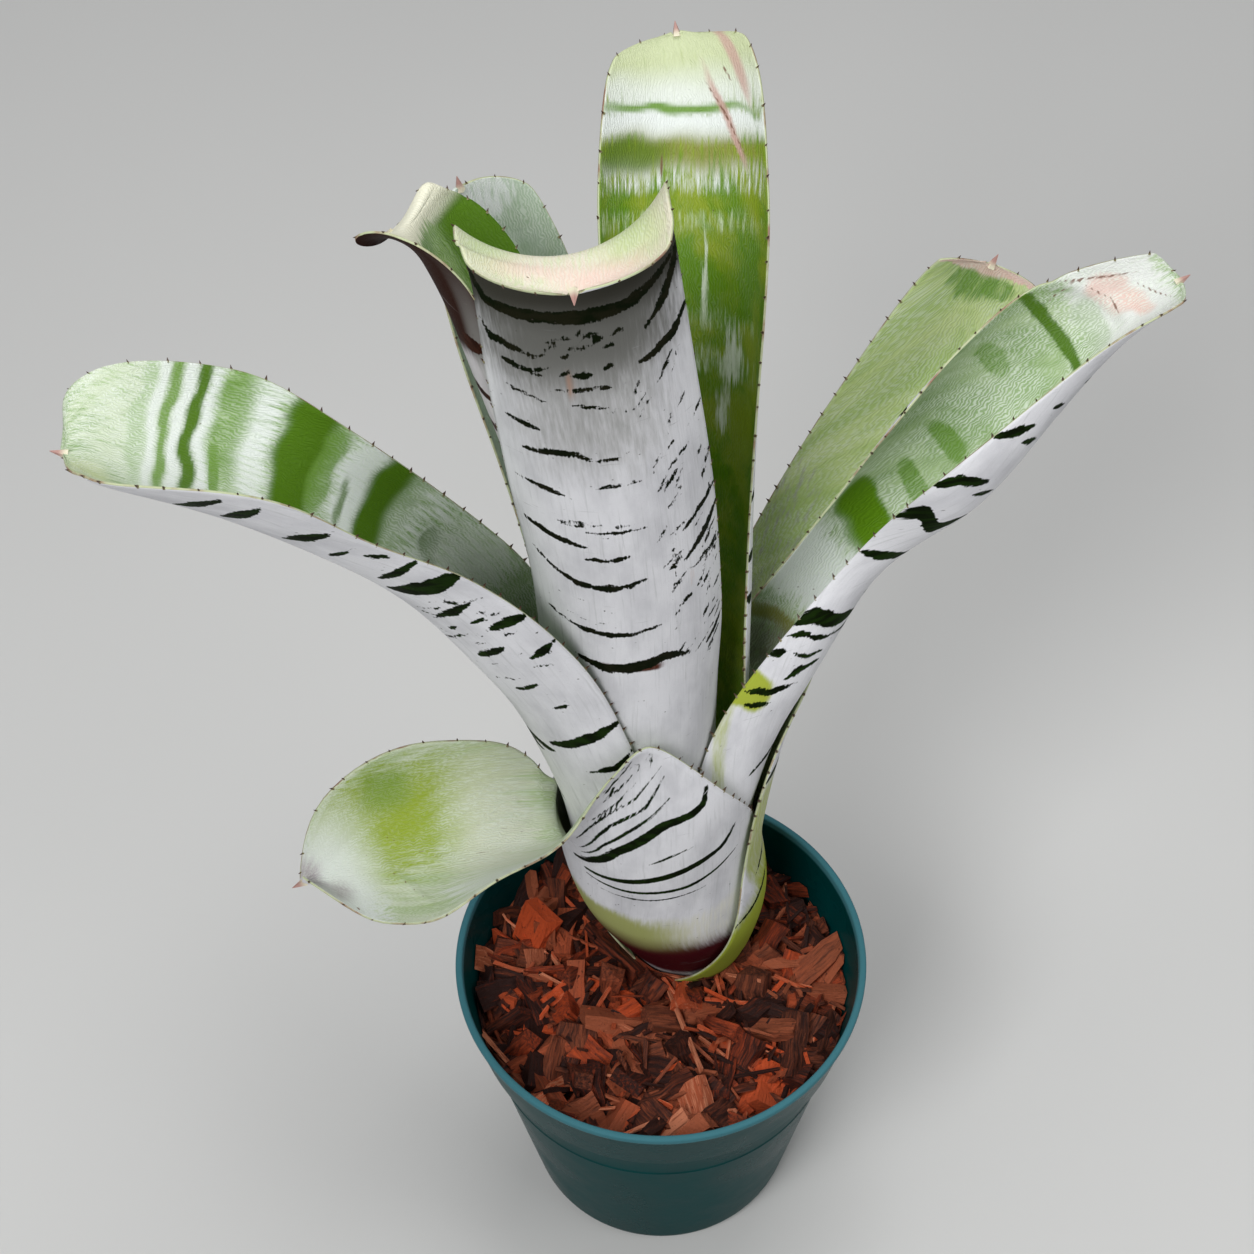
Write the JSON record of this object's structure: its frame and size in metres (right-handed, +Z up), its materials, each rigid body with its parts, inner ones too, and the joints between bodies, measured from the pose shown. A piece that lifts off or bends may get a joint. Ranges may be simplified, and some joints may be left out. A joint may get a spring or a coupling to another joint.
{
  "type": "potted tank bromeliad",
  "caption": "Upright tank bromeliad with banded strap leaves rising from a bulb-shaped base, in bark mulch in a tapered nursery pot.",
  "frame": {"origin": "centre of the pot's underside, where it meets the surface it stands on", "axes": "+Z up along the pot's axis; -Y toward the side the plant was pictured from; +X to the right from there"},
  "size_m": [0.3571, 0.2249, 0.5212],
  "materials": {
    "pot_plastic": "teal, slightly glossy",
    "bark": "red-brown bark chips, rough",
    "stem": "dull green-brown stem",
    "leaf_silver": "leaf with silver scurf and dark cross bands",
    "leaf_pale_green": "leaf, pale frosted green",
    "leaf_green": "leaf, green with frosted bands"
  },
  "bodies": {
    "root": {"pot": "pot_plastic", "bark_mulch": "bark", "stem_base": "stem", "leaf_right_outer": "leaf_pale_green", "leaf_front_left_low": "leaf_silver", "leaf_right_long": "leaf_silver", "leaf_left_long": "leaf_silver", "leaf_front": "leaf_silver", "leaf_back_left": "leaf_pale_green", "leaf_left_recurved": "leaf_silver", "leaf_back_tall": "leaf_green"}
  },
  "joints": []
}
